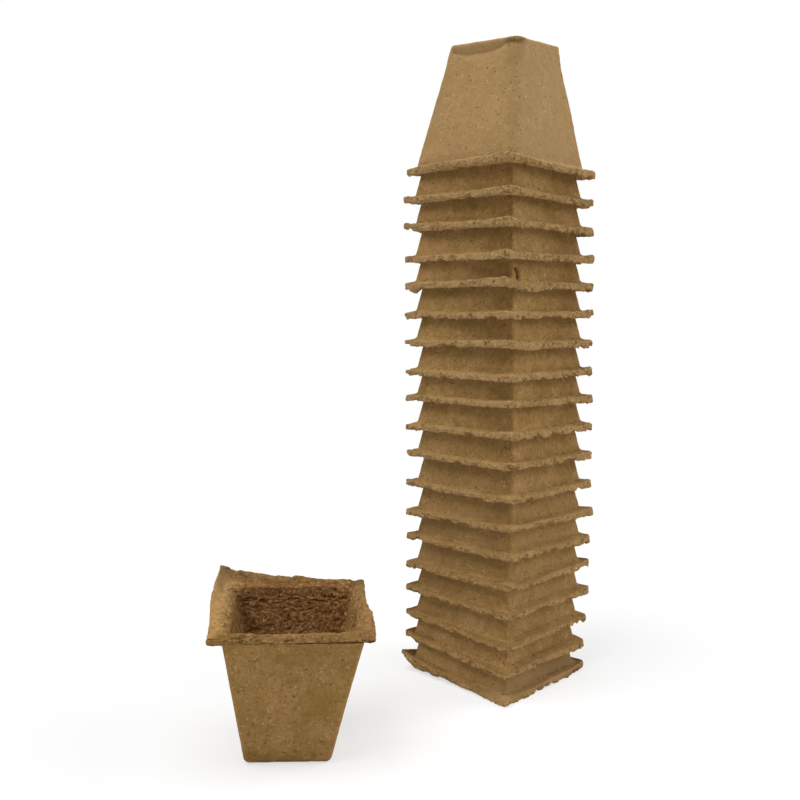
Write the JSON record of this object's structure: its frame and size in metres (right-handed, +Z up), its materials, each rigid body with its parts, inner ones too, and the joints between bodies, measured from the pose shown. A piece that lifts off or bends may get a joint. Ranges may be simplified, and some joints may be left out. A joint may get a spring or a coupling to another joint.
{
  "type": "peat pot",
  "caption": "Square tapered plant pots of moulded peat fibre with a flat flanged rim, most of them nested mouth down in a tall stack beside one loose upright pot.",
  "frame": {"origin": "middle of the stack's foot, in the plane of the table", "axes": "+Z up along the stack, X and Y square to the sides of the stacked pots, with the loose pot towards -X"},
  "size_m": [0.2477, 0.1094, 0.3721],
  "materials": {
    "moulded_fibre": "matte"
  },
  "bodies": {
    "stack_pot_01": {"stack_pot_01": "moulded_fibre"},
    "stack_pot_02": {"stack_pot_02": "moulded_fibre"},
    "stack_pot_03": {"stack_pot_03": "moulded_fibre"},
    "stack_pot_04": {"stack_pot_04": "moulded_fibre"},
    "stack_pot_05": {"stack_pot_05": "moulded_fibre"},
    "stack_pot_06": {"stack_pot_06": "moulded_fibre"},
    "stack_pot_07": {"stack_pot_07": "moulded_fibre"},
    "stack_pot_08": {"stack_pot_08": "moulded_fibre"},
    "stack_pot_09": {"stack_pot_09": "moulded_fibre"},
    "stack_pot_10": {"stack_pot_10": "moulded_fibre"},
    "stack_pot_11": {"stack_pot_11": "moulded_fibre"},
    "stack_pot_12": {"stack_pot_12": "moulded_fibre"},
    "stack_pot_13": {"stack_pot_13": "moulded_fibre"},
    "stack_pot_14": {"stack_pot_14": "moulded_fibre"},
    "stack_pot_15": {"stack_pot_15": "moulded_fibre"},
    "stack_pot_16": {"stack_pot_16": "moulded_fibre"},
    "stack_pot_17": {"stack_pot_17": "moulded_fibre"},
    "stack_pot_18": {"stack_pot_18": "moulded_fibre"},
    "stack_pot_19": {"stack_pot_19": "moulded_fibre"},
    "loose_pot": {"loose_pot": "moulded_fibre"}
  },
  "joints": [
    {"name": "lift_02", "type": "slide", "parent": "stack_pot_01", "child": "stack_pot_02", "axis": [0, 0, 1], "range_m": [0, 0.073]},
    {"name": "lift_03", "type": "slide", "parent": "stack_pot_02", "child": "stack_pot_03", "axis": [0, 0, 1], "range_m": [0, 0.073]},
    {"name": "lift_04", "type": "slide", "parent": "stack_pot_03", "child": "stack_pot_04", "axis": [0, 0, 1], "range_m": [0, 0.073]},
    {"name": "lift_05", "type": "slide", "parent": "stack_pot_04", "child": "stack_pot_05", "axis": [0, 0, 1], "range_m": [0, 0.073]},
    {"name": "lift_06", "type": "slide", "parent": "stack_pot_05", "child": "stack_pot_06", "axis": [0, 0, 1], "range_m": [0, 0.073]},
    {"name": "lift_07", "type": "slide", "parent": "stack_pot_06", "child": "stack_pot_07", "axis": [0, 0, 1], "range_m": [0, 0.073]},
    {"name": "lift_08", "type": "slide", "parent": "stack_pot_07", "child": "stack_pot_08", "axis": [0, 0, 1], "range_m": [0, 0.073]},
    {"name": "lift_09", "type": "slide", "parent": "stack_pot_08", "child": "stack_pot_09", "axis": [0, 0, 1], "range_m": [0, 0.073]},
    {"name": "lift_10", "type": "slide", "parent": "stack_pot_09", "child": "stack_pot_10", "axis": [0, 0, 1], "range_m": [0, 0.073]},
    {"name": "lift_11", "type": "slide", "parent": "stack_pot_10", "child": "stack_pot_11", "axis": [0, 0, 1], "range_m": [0, 0.073]},
    {"name": "lift_12", "type": "slide", "parent": "stack_pot_11", "child": "stack_pot_12", "axis": [0, 0, 1], "range_m": [0, 0.073]},
    {"name": "lift_13", "type": "slide", "parent": "stack_pot_12", "child": "stack_pot_13", "axis": [0, 0, 1], "range_m": [0, 0.073]},
    {"name": "lift_14", "type": "slide", "parent": "stack_pot_13", "child": "stack_pot_14", "axis": [0, 0, 1], "range_m": [0, 0.073]},
    {"name": "lift_15", "type": "slide", "parent": "stack_pot_14", "child": "stack_pot_15", "axis": [0, 0, 1], "range_m": [0, 0.073]},
    {"name": "lift_16", "type": "slide", "parent": "stack_pot_15", "child": "stack_pot_16", "axis": [0, 0, 1], "range_m": [0, 0.073]},
    {"name": "lift_17", "type": "slide", "parent": "stack_pot_16", "child": "stack_pot_17", "axis": [0, 0, 1], "range_m": [0, 0.073]},
    {"name": "lift_18", "type": "slide", "parent": "stack_pot_17", "child": "stack_pot_18", "axis": [0, 0, 1], "range_m": [0, 0.073]},
    {"name": "lift_19", "type": "slide", "parent": "stack_pot_18", "child": "stack_pot_19", "axis": [0, 0, 1], "range_m": [0, 0.073]},
    {"name": "loose_pot_lift", "type": "slide", "parent": "stack_pot_01", "child": "loose_pot", "axis": [0, 0, 1], "range_m": [0, 0.073]}
  ]
}
